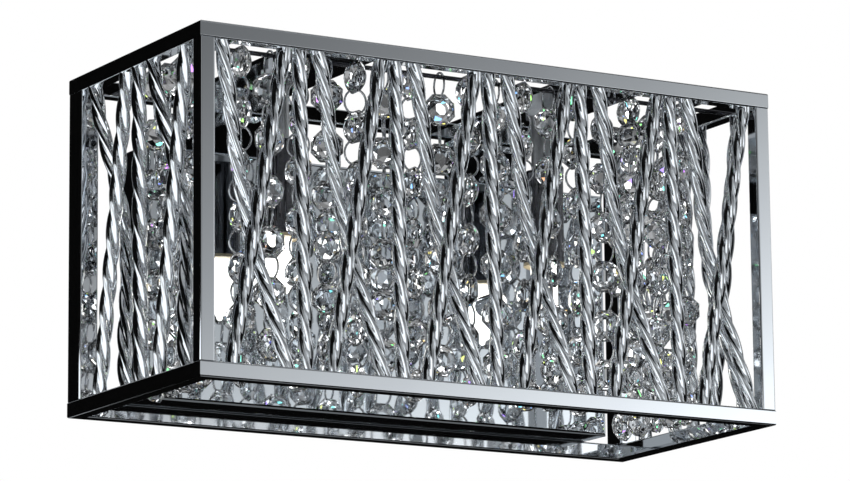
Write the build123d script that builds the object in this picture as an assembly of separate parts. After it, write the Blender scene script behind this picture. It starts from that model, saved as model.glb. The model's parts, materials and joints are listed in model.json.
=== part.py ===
from build123d import *
import math
import os

# A two-lamp vanity light: an open box of square chrome bars, twisted rods across its front and sides,
# crystal strands hung behind the rods, and two capsule lamps in front of a polished back pan.
# Millimetres. X runs to the viewer's right, -Y out from the wall and +Z up. The origin is on the wall
# plane, at the middle of the crossbar that the light is bolted up by.

# Box frame
FRAME_WIDTH = 286.0
FRAME_DEPTH = 124.0
FRAME_HEIGHT = 150.0
BAR = 7.0
BAR_EDGE_RADIUS = 0.8
BACK_POST_WIDTH = 8.7
BACK_POST_DEPTH = 12.0

# Back pan, which stands on the bottom back rail
PAN_HEIGHT = 112.0
PAN_DEPTH = 26.0
PAN_WALL = 1.2
PAN_ROD_GAP = 11.4
PAN_EDGE_RADIUS = 1.5
TAB_WIDTH = 40.0

# Twisted rods. A lean is how far a rod's foot stands beside its top, seen from outside the box.
ROD_RADIUS = 3.4
ROD_TURN = 49.0
ROD_STEPS_PER_TURN = 7
ROD_LOBES = 3
ROD_LEAN_RIGHT = 31.0
ROD_LEAN_LEFT = 25.0
ROD_LEAN_UPRIGHT = 3.0
ROD_PAIR_OFFSET = 2.5
ROD_CROSSING_GAP = 0.4
FRONT_ROD_GROUPS = 6
FRONT_ROD_END_GAP = 4.0
SIDE_ROD_GROUPS = 2
SIDE_ROD_END_GAP = 12.0

# Crystal strands and the wires that carry them
BEAD_SIDES = 8
BEAD_SIZE = 14.0
BEAD_THICKNESS = 8.0
BEAD_TABLE_RADIUS = 4.2
BEAD_HOLE_EDGE = 1.0
LINKS_PER_STRAND = 6
RING_HEIGHT = 12.0
RING_WIDTH = 10.4
RING_WIRE = 1.0
HANGING_WIRE_RADIUS = 1.0
HANGING_GAP = 0.3
STRAND_ROD_GAP = 2.7
STRAND_PAN_GAP = 4.0
FRONT_STRANDS = 17
SIDE_STRANDS = 4
ROW_CORNER_GAP = 7.5
SIDE_ROW_SETBACK = 23.3
STRAP_RING_GAP = 0.7

# Lamps
LAMP_SPACING = 136.0
LAMP_TO_WALL = 53.0
STRAP_WIDTH = 42.0
STRAP_THICKNESS = 2.0
NIPPLE_RADIUS = 5.0
NIPPLE_BORE_RADIUS = 3.5
NIPPLE_REACH = 4.0
NUT_WIDTH = 14.0
NUT_HEIGHT = 3.0
SLEEVE_RADIUS = 9.2
SLEEVE_WALL = 0.8
SLEEVE_TOP_WALL = 1.5
SLEEVE_LENGTH = 42.0
SLEEVE_DROP = 28.0
SLEEVE_EDGE_RADIUS = 1.5
SOCKET_LENGTH = 30.0
SOCKET_FLANGE = 1.4
SOCKET_GAP = 0.3
BULB_RADIUS = 6.0
BULB_LENGTH = 27.0
BULB_TIP_RADIUS = 1.3
BULB_TIP_LENGTH = 2.0
BULB_SEAT_GAP = 0.3
PRESS_WIDTH = 12.0
PRESS_THICKNESS = 4.2
PRESS_HEIGHT = 7.0
PIN_RADIUS = 1.0
PIN_SPACING = 9.0
PIN_LENGTH = 9.0
FIT = 0.1

# Wall crossbar and the hardware that holds the pan on it
CROSSBAR_LENGTH = 132.0
CROSSBAR_WIDTH = 20.0
CROSSBAR_THICKNESS = 2.0
CROSSBAR_CORNER_RADIUS = 4.0
WALL_SLOT_SPACING = 80.0
WALL_SLOT_LENGTH = 14.0
WALL_SLOT_RADIUS = 2.4
WIRE_HOLE_RADIUS = 5.2
STUD_SPACING = 114.0
STUD_RADIUS = 2.0
STUD_HOLE_RADIUS = 2.5
CAP_NUT_RADIUS = 5.0
CAP_NUT_LENGTH = 9.0
CAP_NUT_ROUNDING = 3.0
STUD_THREAD_REACH = 6.0
GROUND_SCREW_X = 22.0
GROUND_SCREW_HEAD_RADIUS = 3.5
GROUND_SCREW_HEAD_HEIGHT = 2.6
GROUND_SCREW_RADIUS = 1.9

# Levels and planes worked out from the sizes above
FRAME_BOTTOM = -PAN_HEIGHT / 2 - BAR
FRAME_TOP = FRAME_BOTTOM + FRAME_HEIGHT
ROD_BOTTOM = FRAME_BOTTOM + BAR
ROD_TOP = FRAME_TOP - BAR
OPENING_WIDTH = FRAME_WIDTH - 2 * BAR
OPENING_DEPTH = FRAME_DEPTH - 2 * BAR
ROD_BOW = 2 * ROD_RADIUS + ROD_CROSSING_GAP
ROD_REACH = BAR / 2 + ROD_BOW + ROD_RADIUS
PAN_WIDTH = FRAME_WIDTH - 2 * (ROD_REACH + PAN_ROD_GAP)
ROW_INSET = ROD_REACH + STRAND_ROD_GAP + BEAD_SIZE / 2
FRONT_ROW_Y = -FRAME_DEPTH + ROW_INSET
SIDE_ROW_X = FRAME_WIDTH / 2 - ROW_INSET
STRAP_UNDERSIDE = FRAME_TOP - STRAP_THICKNESS
FRONT_WIRE_Z = STRAP_UNDERSIDE - STRAP_RING_GAP - RING_WIRE - HANGING_GAP - HANGING_WIRE_RADIUS
SIDE_WIRE_Z = FRONT_WIRE_Z + 2 * HANGING_WIRE_RADIUS + HANGING_GAP
LAMP_X = LAMP_SPACING / 2
SLEEVE_TOP = STRAP_UNDERSIDE - SLEEVE_DROP
SLEEVE_BOTTOM = SLEEVE_TOP - SLEEVE_LENGTH
BULB_TOP = SLEEVE_BOTTOM - SOCKET_FLANGE - BULB_SEAT_GAP

ROD_LEANS = {"right": ROD_LEAN_RIGHT, "left": -ROD_LEAN_LEFT, "upright": ROD_LEAN_UPRIGHT}
SIDES = {"left": -1, "right": 1}


def facet(*corners):
    """A flat face through the given corners."""
    return Face(Wire.make_polygon(corners))


def bar_section():
    """The square bar's profile, with its long edges rounded."""
    return RectangleRounded(BAR, BAR, BAR_EDGE_RADIUS)


def mitred_rail(length):
    """A rail along X with its outer face on Y = 0 and its foot on Z = 0, mitred toward +Y at both ends."""
    bar = extrude(Plane.YZ * Pos(BAR / 2, BAR / 2) * bar_section(), length / 2, both=True)
    half = length / 2
    plan = Polygon((-half, 0), (half, 0), (half - BAR, BAR), (BAR - half, BAR), align=None)
    return bar & extrude(plan, BAR)


def rectangle_of_rails(level, foot):
    """The four mitred rails of the top or bottom frame, by node name."""
    long_rail = mitred_rail(FRAME_WIDTH)
    short_rail = mitred_rail(FRAME_DEPTH)
    middle = -FRAME_DEPTH / 2
    return {
        f"{level}_front_rail": Pos(0, -FRAME_DEPTH, foot) * long_rail,
        f"{level}_back_rail": Pos(0, 0, foot) * Rot(0, 0, 180) * long_rail,
        f"{level}_left_rail": Pos(-FRAME_WIDTH / 2, middle, foot) * Rot(0, 0, -90) * short_rail,
        f"{level}_right_rail": Pos(FRAME_WIDTH / 2, middle, foot) * Rot(0, 0, 90) * short_rail,
    }


def corner_posts():
    """The four posts that stand between the bottom and the top frame, by node name."""
    back_section = RectangleRounded(BACK_POST_WIDTH, BACK_POST_DEPTH, BAR_EDGE_RADIUS)
    front_x = (FRAME_WIDTH - BAR) / 2
    back_x = (FRAME_WIDTH - BACK_POST_WIDTH) / 2
    posts = {}
    for side, sign in SIDES.items():
        front = Pos(sign * front_x, BAR / 2 - FRAME_DEPTH, ROD_BOTTOM) * bar_section()
        back = Pos(sign * back_x, -BACK_POST_DEPTH / 2, ROD_BOTTOM) * back_section
        posts[f"front_{side}_post"] = extrude(front, ROD_TOP - ROD_BOTTOM)
        posts[f"back_{side}_post"] = extrude(back, ROD_TOP - ROD_BOTTOM)
    return posts


def twisted_rod(top, bottom, bow):
    """A lobed bar twisted about the line from top to bottom, bowed sideways by the vector bow."""
    steps = round((top.Z - bottom.Z) * ROD_STEPS_PER_TURN / ROD_TURN)
    sections = []
    for step in range(steps + 1):
        along = step / steps
        centre = top + (bottom - top) * along + bow * math.sin(math.pi * along) ** 2
        twist = 360 * step / ROD_STEPS_PER_TURN
        tips = [twist + 360 * lobe / ROD_LOBES for lobe in range(ROD_LOBES)]
        sections.append([centre + Vector(ROD_RADIUS, 0, 0).rotate(Axis.Z, tip) for tip in tips])
    faces = [facet(*sections[0]), facet(*sections[-1])]
    for upper, lower in zip(sections, sections[1:]):
        for lobe in range(ROD_LOBES):
            beside = (lobe + 1) % ROD_LOBES
            faces.append(facet(upper[lobe], upper[beside], lower[lobe]))
            faces.append(facet(upper[beside], lower[beside], lower[lobe]))
    return Solid(Shell(faces))


def rod_middles(groups, opening, end_gap):
    """The places of the rods' middles along an opening, from its centre, by the way they lean."""
    pitch = (opening - 2 * end_gap - ROD_LEAN_RIGHT) / (groups - 1)
    first = -opening / 2 + end_gap + ROD_LEAN_RIGHT / 2
    places = [first + group * pitch for group in range(groups)]
    return {
        "right": places,
        "left": [place + ROD_PAIR_OFFSET for place in places],
        "upright": [place + pitch / 2 for place in places[:-1]],
    }


def rods(middles, way, centre, along, inward):
    """The rods that lean one way in a row: one of each crossing pair bows inward past the other."""
    half_lean = along * (ROD_LEANS[way] / 2)
    bow = inward * (ROD_BOW if way == "right" else 0)
    made = []
    for middle in middles[way]:
        place = centre + along * middle
        top = place - half_lean + Vector(0, 0, ROD_TOP)
        bottom = place + half_lean + Vector(0, 0, ROD_BOTTOM)
        made.append(twisted_rod(top, bottom, bow))
    return made


def all_rods():
    """Every twisted rod, by node name."""
    front_middles = rod_middles(FRONT_ROD_GROUPS, OPENING_WIDTH, FRONT_ROD_END_GAP)
    side_middles = rod_middles(SIDE_ROD_GROUPS, OPENING_DEPTH, SIDE_ROD_END_GAP)
    front_centre = Vector(0, -FRAME_DEPTH + BAR / 2, 0)
    nodes = {}
    for way in ROD_LEANS:
        made = rods(front_middles, way, front_centre, Vector(1, 0, 0), Vector(0, 1, 0))
        nodes[f"front_rods_{way}"] = Compound(children=made)
    for side, sign in SIDES.items():
        centre = Vector(sign * (FRAME_WIDTH - BAR) / 2, -FRAME_DEPTH / 2, 0)
        made = []
        for way in ROD_LEANS:
            made += rods(side_middles, way, centre, Vector(0, -1, 0), Vector(-sign, 0, 0))
        nodes[f"{side}_side_rods"] = Compound(children=made)
    return nodes


def crystal():
    """An octagon crystal in the XZ plane with a square table on its front and on its back."""
    step = 360 / BEAD_SIDES
    girdle_radius = BEAD_SIZE / 2 / math.cos(math.pi / BEAD_SIDES)
    turns = [step * (corner + 1 / 2) for corner in range(BEAD_SIDES)]
    corners = [Vector(girdle_radius, 0, 0).rotate(Axis.Y, turn) for turn in turns]
    for corner in range(1, BEAD_SIDES, 2):
        table_corner = Vector(BEAD_TABLE_RADIUS, 0, 0).rotate(Axis.Y, step * corner)
        corners += [table_corner + Vector(0, side * BEAD_THICKNESS / 2, 0) for side in (-1, 1)]
    return ConvexPolyhedron(corners)


def ring():
    """A six-sided link in the YZ plane, of three-sided wire with one edge outward."""
    half_width = RING_WIDTH / 2
    half_height = RING_HEIGHT / 2
    upper = [Vector(0, half_width, 0), Vector(0, half_width / 2, half_height)]
    upper.append(Vector(0, -half_width / 2, half_height))
    outer = upper + [-corner for corner in upper]
    inner = [corner * (1 - RING_WIRE / half_height) for corner in outer]
    side = Vector(RING_WIRE / 2, 0, 0)
    faces = []
    for here in range(len(outer)):
        on = (here + 1) % len(outer)
        faces.append(facet(outer[here], outer[on], inner[on] - side, inner[here] - side))
        faces.append(facet(outer[here], outer[on], inner[on] + side, inner[here] + side))
        faces.append(facet(inner[here] - side, inner[on] - side, inner[on] + side, inner[here] + side))
    return Solid(Shell(faces))


def strand(crystal_first):
    """Links and crystals, one through the next, hanging from a wire along X through the origin.

    The first piece goes round the wire: a link, or else a crystal with a hole for the wire.
    """
    wire_room = HANGING_WIRE_RADIUS + HANGING_GAP
    step = (RING_HEIGHT + BEAD_SIZE) / 2 - RING_WIRE - BEAD_HOLE_EDGE
    pieces = [ring(), crystal()] * LINKS_PER_STRAND
    level = wire_room + RING_WIRE - RING_HEIGHT / 2
    if crystal_first:
        hole = Cylinder(wire_room, 2 * BEAD_THICKNESS, rotation=(90, 0, 0))
        level = wire_room + BEAD_HOLE_EDGE - BEAD_SIZE / 2
        pieces = [Rot(0, 0, 90) * piece for piece in [crystal() - Pos(0, 0, -level) * hole] + pieces]
    hung = [Pos(0, 0, level - step * number) * piece for number, piece in enumerate(pieces)]
    return hung[0].fuse(*hung[1:])


def spread(first, last, count):
    """Evenly spaced places from first to last."""
    return [first + (last - first) * number / (count - 1) for number in range(count)]


def strands():
    """Every crystal strand, by node name. Along the front, every other one starts with a crystal."""
    by_link = strand(crystal_first=False)
    by_crystal = strand(crystal_first=True)
    turned = Rot(0, 0, 90) * by_crystal
    front_end = SIDE_ROW_X - ROW_CORNER_GAP
    side_first = -PAN_DEPTH - STRAND_PAN_GAP - BEAD_SIZE / 2
    side_last = FRONT_ROW_Y + SIDE_ROW_SETBACK
    nodes = {}
    for number, x in enumerate(spread(-front_end, front_end, FRONT_STRANDS), start=1):
        hung = by_crystal if number % 2 else by_link
        nodes[f"front_strand_{number:02d}"] = Pos(x, FRONT_ROW_Y, FRONT_WIRE_Z) * hung
    for side, sign in SIDES.items():
        for number, y in enumerate(spread(side_first, side_last, SIDE_STRANDS), start=1):
            nodes[f"{side}_strand_{number}"] = Pos(sign * SIDE_ROW_X, y, SIDE_WIRE_Z) * turned
    return nodes


def hanging_wires():
    """The three straight wires that the strands hang on, as one node."""
    front = Rot(0, 90, 0) * Cylinder(HANGING_WIRE_RADIUS, OPENING_WIDTH)
    side_wire = Rot(90, 0, 0) * Cylinder(HANGING_WIRE_RADIUS, OPENING_DEPTH)
    wires = [Pos(0, FRONT_ROW_Y, FRONT_WIRE_Z) * front]
    for sign in SIDES.values():
        wires.append(Pos(sign * SIDE_ROW_X, -FRAME_DEPTH / 2, SIDE_WIRE_Z) * side_wire)
    return {"hanging_wires": Compound(children=wires)}


def back_pan():
    """A shallow tray with its open side to the wall, and two tabs that reach up under the top back rail."""
    tray = Pos(0, -PAN_DEPTH / 2, 0) * Box(PAN_WIDTH, PAN_DEPTH, PAN_HEIGHT)
    tray = fillet(tray.faces().sort_by(Axis.Y)[0].edges(), PAN_EDGE_RADIUS)
    hollow_depth = PAN_DEPTH - PAN_WALL
    hollow = Box(PAN_WIDTH - 2 * PAN_WALL, hollow_depth, PAN_HEIGHT - 2 * PAN_WALL)
    tray -= Pos(0, -hollow_depth / 2, 0) * hollow
    tab_foot = PAN_HEIGHT / 2 - PAN_WALL
    tab = Pos(0, -PAN_WALL / 2, (tab_foot + ROD_TOP) / 2) * Box(TAB_WIDTH, PAN_WALL, ROD_TOP - tab_foot)
    tab += Pos(0, -BAR / 2, ROD_TOP - PAN_WALL / 2) * Box(TAB_WIDTH, BAR, PAN_WALL)
    for sign in SIDES.values():
        tray += Pos(sign * LAMP_X, 0, 0) * tab
        hole = Rot(90, 0, 0) * Cylinder(STUD_HOLE_RADIUS, 2 * PAN_WALL)
        tray -= Pos(sign * STUD_SPACING / 2, -PAN_DEPTH, 0) * hole
    return tray


def crossbar():
    """The strip that is bolted over the wall box: slots for the box screws, holes for studs and leads."""
    outline = RectangleRounded(CROSSBAR_LENGTH, CROSSBAR_WIDTH, CROSSBAR_CORNER_RADIUS)
    outline -= Circle(WIRE_HOLE_RADIUS)
    outline -= Pos(GROUND_SCREW_X, 0) * Circle(GROUND_SCREW_RADIUS + FIT)
    for sign in SIDES.values():
        outline -= Pos(sign * WALL_SLOT_SPACING / 2, 0) * SlotOverall(WALL_SLOT_LENGTH, 2 * WALL_SLOT_RADIUS)
        outline -= Pos(sign * STUD_SPACING / 2, 0) * Circle(STUD_RADIUS + FIT)
    return extrude(Plane.XZ * outline, CROSSBAR_THICKNESS)


def outward(radius, start, end):
    """A round bar along Y between two distances from the wall."""
    return Pos(0, -(start + end) / 2, 0) * Rot(90, 0, 0) * Cylinder(radius, end - start)


def ground_screw():
    """The screw on the crossbar that the earth lead is clamped under."""
    head_end = CROSSBAR_THICKNESS + GROUND_SCREW_HEAD_HEIGHT
    head = outward(GROUND_SCREW_HEAD_RADIUS, CROSSBAR_THICKNESS, head_end)
    return Pos(GROUND_SCREW_X, 0, 0) * (head + outward(GROUND_SCREW_RADIUS, 0, CROSSBAR_THICKNESS))


def cap_nut():
    """A round-nosed nut on the pan's face, bored for its stud."""
    nut = outward(CAP_NUT_RADIUS, PAN_DEPTH, PAN_DEPTH + CAP_NUT_LENGTH)
    nut = fillet(nut.edges().sort_by(Axis.Y)[0], CAP_NUT_ROUNDING)
    return nut - outward(STUD_RADIUS + FIT, PAN_DEPTH, PAN_DEPTH + STUD_THREAD_REACH + FIT)


def at_both(piece, spacing):
    """Two copies of a piece, either side of the middle."""
    return Compound(children=[Pos(sign * spacing / 2, 0, 0) * piece for sign in SIDES.values()])


def lamp_strap():
    """The flat bar across the top that one lamp hangs from, bored for its nipple."""
    strap = Pos(0, -FRAME_DEPTH / 2, FRAME_TOP - STRAP_THICKNESS / 2)
    strap = strap * Box(STRAP_WIDTH, OPENING_DEPTH, STRAP_THICKNESS)
    hole = Cylinder(NIPPLE_RADIUS + FIT, 2 * STRAP_THICKNESS)
    return strap - Pos(0, -LAMP_TO_WALL, STRAP_UNDERSIDE) * hole


def on_lamp_axis(piece, foot):
    """A piece standing on the lamp's axis with its foot at a level."""
    return Pos(0, -LAMP_TO_WALL, foot) * piece


def upright_round(radius, height):
    """A round bar that stands on Z = 0."""
    return Cylinder(radius, height, align=(Align.CENTER, Align.CENTER, Align.MIN))


def nipple():
    """The hollow threaded tube from the strap down into the lampholder's sleeve."""
    foot = SLEEVE_TOP - SLEEVE_TOP_WALL - NIPPLE_REACH
    height = FRAME_TOP - foot
    tube = upright_round(NIPPLE_RADIUS, height) - upright_round(NIPPLE_BORE_RADIUS, height)
    return on_lamp_axis(tube, foot)


def nipple_nuts():
    """The nut under the strap and the nut inside the sleeve."""
    outline = RegularPolygon(NUT_WIDTH / 2, 6, major_radius=False) - Circle(NIPPLE_RADIUS + FIT)
    nut = extrude(outline, NUT_HEIGHT)
    feet = (STRAP_UNDERSIDE - NUT_HEIGHT, SLEEVE_TOP - SLEEVE_TOP_WALL - NUT_HEIGHT)
    return [on_lamp_axis(nut, foot) for foot in feet]


def sleeve():
    """The lampholder's polished cover: a tube closed at the top but for the nipple's hole."""
    cover = upright_round(SLEEVE_RADIUS, SLEEVE_LENGTH)
    cover = fillet(cover.edges().sort_by(Axis.Z)[-1], SLEEVE_EDGE_RADIUS)
    cover -= upright_round(SLEEVE_RADIUS - SLEEVE_WALL, SLEEVE_LENGTH - SLEEVE_TOP_WALL)
    cover -= upright_round(NIPPLE_RADIUS + FIT, SLEEVE_LENGTH)
    return on_lamp_axis(cover, SLEEVE_BOTTOM)


def socket():
    """The ceramic lampholder, with a slot for the bulb's flat press and two holes for its pins."""
    body = upright_round(SLEEVE_RADIUS - SLEEVE_WALL - SOCKET_GAP, SOCKET_FLANGE + SOCKET_LENGTH)
    body += upright_round(SLEEVE_RADIUS, SOCKET_FLANGE)
    slot_height = PRESS_HEIGHT + SOCKET_GAP - BULB_SEAT_GAP
    slot = Box(PRESS_WIDTH + 2 * SOCKET_GAP, PRESS_THICKNESS + 2 * SOCKET_GAP, 2 * slot_height)
    body -= slot
    pin_hole = upright_round(PIN_RADIUS + SOCKET_GAP, slot_height + PIN_LENGTH + SOCKET_GAP)
    for sign in SIDES.values():
        body -= Pos(sign * PIN_SPACING / 2, 0, 0) * pin_hole
    return on_lamp_axis(body, SLEEVE_BOTTOM - SOCKET_FLANGE)


def bulb():
    """The capsule's glass: a domed tube with a sealed tip below and a flat press above."""
    dome_start = BULB_TIP_LENGTH + BULB_RADIUS - BULB_LENGTH
    tip_start = dome_start - math.sqrt(BULB_RADIUS ** 2 - BULB_TIP_RADIUS ** 2)
    half_way = math.sqrt(1 / 2)
    dome_middle = (BULB_RADIUS * half_way, dome_start - BULB_RADIUS * half_way)
    wall = Polyline((0, -BULB_LENGTH), (0, 0), (BULB_RADIUS, 0), (BULB_RADIUS, dome_start))
    dome = ThreePointArc((BULB_RADIUS, dome_start), dome_middle, (BULB_TIP_RADIUS, tip_start))
    tip_shoulder = BULB_TIP_RADIUS - BULB_LENGTH
    tip = Line((BULB_TIP_RADIUS, tip_start), (BULB_TIP_RADIUS, tip_shoulder))
    tip_middle = (BULB_TIP_RADIUS * half_way, tip_shoulder - BULB_TIP_RADIUS * half_way)
    nose = ThreePointArc((BULB_TIP_RADIUS, tip_shoulder), tip_middle, (0, -BULB_LENGTH))
    glass = revolve(Plane.XZ * make_face(wall + dome + tip + nose), Axis.Z)
    press = Box(PRESS_WIDTH, PRESS_THICKNESS, PRESS_HEIGHT, align=(Align.CENTER, Align.CENTER, Align.MIN))
    return on_lamp_axis(glass + press, BULB_TOP)


def bulb_pins():
    """The bulb's two contact pins."""
    pin = upright_round(PIN_RADIUS, PIN_LENGTH)
    pins = [Pos(sign * PIN_SPACING / 2, 0, 0) * pin for sign in SIDES.values()]
    return Compound(children=[on_lamp_axis(piece, BULB_TOP + PRESS_HEIGHT) for piece in pins])


def lamps():
    """Everything that hangs from the straps, by node name."""
    nodes = {}
    makers = {"lamp_strap": lamp_strap, "lamp_sleeve": sleeve, "lamp_socket": socket, "bulb": bulb}
    makers["bulb_pins"] = bulb_pins
    for side, sign in SIDES.items():
        for name, maker in makers.items():
            nodes[f"{side}_{name}"] = Pos(sign * LAMP_X, 0, 0) * maker()
    nodes["lamp_nipples"] = at_both(nipple(), LAMP_SPACING)
    nuts = [Pos(sign * LAMP_X, 0, 0) * nut for sign in SIDES.values() for nut in nipple_nuts()]
    nodes["nipple_nuts"] = Compound(children=nuts)
    return nodes


def wall_hardware():
    """The pan and what holds it on the wall, by node name."""
    stud = outward(STUD_RADIUS, 0, PAN_DEPTH + STUD_THREAD_REACH)
    return {
        "back_pan": back_pan(),
        "wall_crossbar": crossbar(),
        "ground_screw": ground_screw(),
        "pan_studs": at_both(stud, STUD_SPACING),
        "cap_nuts": at_both(cap_nut(), STUD_SPACING),
    }


def main():
    nodes = rectangle_of_rails("top", ROD_TOP) | rectangle_of_rails("bottom", FRAME_BOTTOM)
    nodes |= corner_posts() | all_rods() | hanging_wires() | strands() | lamps() | wall_hardware()
    os.makedirs("parts", exist_ok=True)
    for name, piece in nodes.items():
        export_step(piece, os.path.join("parts", f"{name}.step"))


if __name__ == "__main__":
    main()
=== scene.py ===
"""The looks of a two-lamp vanity light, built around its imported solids.

A chrome box of square bars holds rows of twisted rods. Crystal strands hang behind the rods, and two
capsule lamps glow in front of a polished pan. Lengths are in metres, and mm() turns millimetres into them.
"""
import json
import logging
import math
import random
from dataclasses import dataclass
from enum import Enum

import bmesh
import bpy
from mathutils import Matrix, Vector


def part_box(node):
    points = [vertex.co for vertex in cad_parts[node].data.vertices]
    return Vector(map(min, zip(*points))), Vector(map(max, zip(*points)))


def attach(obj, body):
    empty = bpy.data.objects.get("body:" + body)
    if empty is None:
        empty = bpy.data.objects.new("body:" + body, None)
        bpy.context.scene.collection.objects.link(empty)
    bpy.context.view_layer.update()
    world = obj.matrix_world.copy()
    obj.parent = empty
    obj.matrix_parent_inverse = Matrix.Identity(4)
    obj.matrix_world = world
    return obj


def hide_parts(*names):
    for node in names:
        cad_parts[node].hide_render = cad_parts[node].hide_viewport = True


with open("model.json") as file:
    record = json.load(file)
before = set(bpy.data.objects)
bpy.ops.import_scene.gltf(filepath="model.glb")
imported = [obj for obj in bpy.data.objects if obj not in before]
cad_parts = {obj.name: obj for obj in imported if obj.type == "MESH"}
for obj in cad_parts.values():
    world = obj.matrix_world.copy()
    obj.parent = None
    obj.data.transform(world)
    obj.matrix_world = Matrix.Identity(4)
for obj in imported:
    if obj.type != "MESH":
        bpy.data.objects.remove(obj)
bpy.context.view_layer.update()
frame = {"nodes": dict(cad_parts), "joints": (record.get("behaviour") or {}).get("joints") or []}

Colour = tuple[float, float, float]
Span = tuple[float, float]
Socket = bpy.types.NodeSocket
LOG = logging.getLogger("vanity_light")
PHOTO_WIDTH_PX = 850
FRAME_BODY = "frame"
STRAND_SEED = 7
BLACK = (0.0, 0.0, 0.0, 1.0)
WHITE = (1.0, 1.0, 1.0, 1.0)


def mm(length: float) -> float:
    """Millimetres as metres."""
    return length / 1000


class NodeWord(Enum):
    """A choice that the nodes' names spell in small letters."""

    @property
    def word(self) -> str:
        """The choice as the nodes spell it."""
        return self.name.lower()


class Side(NodeWord):
    """The two ends of the box, with the sign of X at each."""

    LEFT = -1
    RIGHT = 1


class Lean(NodeWord):
    """The ways a rod stands in its row, with how far its foot stands beside its top, in millimetres."""

    RIGHT = 31.0
    LEFT = -25.0
    UPRIGHT = 3.0


class Shader:
    """A new material's nodes, with short ways to add and join them."""

    NOISE_DETAIL = 3.0
    NOISE_RANGE = (0.3, 0.7)

    def __init__(self, name: str) -> None:
        """Starts a material with one principled surface.

        Args:
            name: the material's name.
        """
        self.material = bpy.data.materials.new(name)
        self.material.use_nodes = True
        self.tree = self.material.node_tree
        self.surface = self.tree.nodes["Principled BSDF"]
        self.place = self.add("ShaderNodeTexCoord").outputs["Object"]

    def add(self, kind: str, **inputs: object) -> bpy.types.Node:
        """Adds a node and sets its inputs.

        Args:
            kind: the node's type name.
            inputs: values for its input sockets, with _ for each space in a socket's name.

        Returns:
            The new node.
        """
        node = self.tree.nodes.new(kind)
        for socket, value in inputs.items():
            node.inputs[socket.replace("_", " ")].default_value = value
        return node

    def join(self, source: Socket, target: Socket) -> None:
        """Links one socket to another."""
        self.tree.links.new(source, target)

    def set(self, **inputs: object) -> None:
        """Sets constants on the surface's own sockets, with _ for each space in a socket's name."""
        for socket, value in inputs.items():
            self.surface.inputs[socket.replace("_", " ")].default_value = value

    def feed(self, **sources: Socket) -> None:
        """Links values to the surface's own sockets, with _ for each space in a socket's name."""
        for socket, source in sources.items():
            self.join(source, self.surface.inputs[socket.replace("_", " ")])

    def calculate(self, operation: str, *values: Socket | float) -> Socket:
        """Works out one value from others.

        Args:
            operation: what is done, in the Math node's own word for it.
            values: sockets or numbers, in the order of the node's inputs.

        Returns:
            The result's socket.
        """
        node = self.add("ShaderNodeMath")
        node.operation = operation
        for value, socket in zip(values, node.inputs):
            if isinstance(value, Socket):
                self.join(value, socket)
            else:
                socket.default_value = value
        return node.outputs["Value"]

    def noise(self, scale: float, stretch: Colour = (1.0, 1.0, 1.0)) -> Socket:
        """Noise on the piece's own coordinates.

        Args:
            scale: how many noise cells there are to a metre.
            stretch: a factor on the scale along each axis.

        Returns:
            The noise's value socket.
        """
        turned = self.add("ShaderNodeMapping", Scale=stretch)
        self.join(self.place, turned.inputs["Vector"])
        noise = self.add("ShaderNodeTexNoise", Scale=scale, Detail=self.NOISE_DETAIL)
        self.join(turned.outputs["Vector"], noise.inputs["Vector"])
        return noise.outputs["Fac"]

    def ramp(self, source: Socket, values: Span, results: Span) -> Socket:
        """Maps one range of values onto another, and stops at its ends.

        Args:
            source: the value.
            values: the two ends of the range that it comes from.
            results: what those ends become.

        Returns:
            The mapped value's socket.
        """
        ranged = self.add("ShaderNodeMapRange", From_Min=values[0], From_Max=values[1])
        ranged.inputs["To Min"].default_value = results[0]
        ranged.inputs["To Max"].default_value = results[1]
        self.join(source, ranged.inputs["Value"])
        return ranged.outputs["Result"]

    def spread(self, source: Socket, results: Span = (0.0, 1.0)) -> Socket:
        """Maps noise's middle range onto two values."""
        return self.ramp(source, self.NOISE_RANGE, results)

    def blend(self, source: Socket, low: Colour | Socket, high: Colour | Socket) -> Socket:
        """Blends two colours by a value.

        Args:
            source: the value, from 0 to 1.
            low: the colour at 0, plain or from a socket.
            high: the colour at 1, plain or from a socket.

        Returns:
            The blended colour's socket.
        """
        mixed = self.add("ShaderNodeMix")
        mixed.data_type = "RGBA"
        ends = [socket for socket in mixed.inputs if socket.type == "RGBA"]
        for end, colour in zip(ends, (low, high)):
            if isinstance(colour, Socket):
                self.join(colour, end)
            else:
                end.default_value = (*colour, 1.0)
        self.join(source, mixed.inputs["Factor"])
        return next(socket for socket in mixed.outputs if socket.type == "RGBA")

    def bump(self, source: Socket, depth: float) -> None:
        """Raises the surface by a value.

        Args:
            source: the height, from 0 to 1.
            depth: how deep a height of 1 is.
        """
        bump = self.add("ShaderNodeBump", Strength=1.0, Distance=depth)
        self.join(source, bump.inputs["Height"])
        self.feed(Normal=bump.outputs["Normal"])


@dataclass(frozen=True)
class PolishedMetal:
    """Plated or polished metal with a faint haze and hardly visible waves.

    Attributes:
        name: the material's name.
        tint: the colour of its clearest parts.
        haze_tint: the colour where the haze is thickest.
        roughness: the least and the most roughness.
        haze_scale: haze cells to a metre.
        wave_scale: surface waves to a metre.
        wave_depth: how deep the waves are.
    """

    name: str
    tint: Colour
    haze_tint: Colour
    roughness: Span
    haze_scale: float
    wave_scale: float
    wave_depth: float

    WEAR_PER_HAZE = 6

    def make(self) -> bpy.types.Material:
        """Makes the material.

        Returns:
            The material.
        """
        shader = Shader(self.name)
        shader.set(Metallic=1.0)
        haze = shader.spread(shader.noise(self.haze_scale))
        wear = shader.noise(self.haze_scale * self.WEAR_PER_HAZE)
        shader.feed(
            Base_Color=shader.blend(haze, self.tint, self.haze_tint),
            Roughness=shader.spread(wear, self.roughness),
        )
        shader.bump(shader.noise(self.wave_scale), self.wave_depth)
        return shader.material


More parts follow.
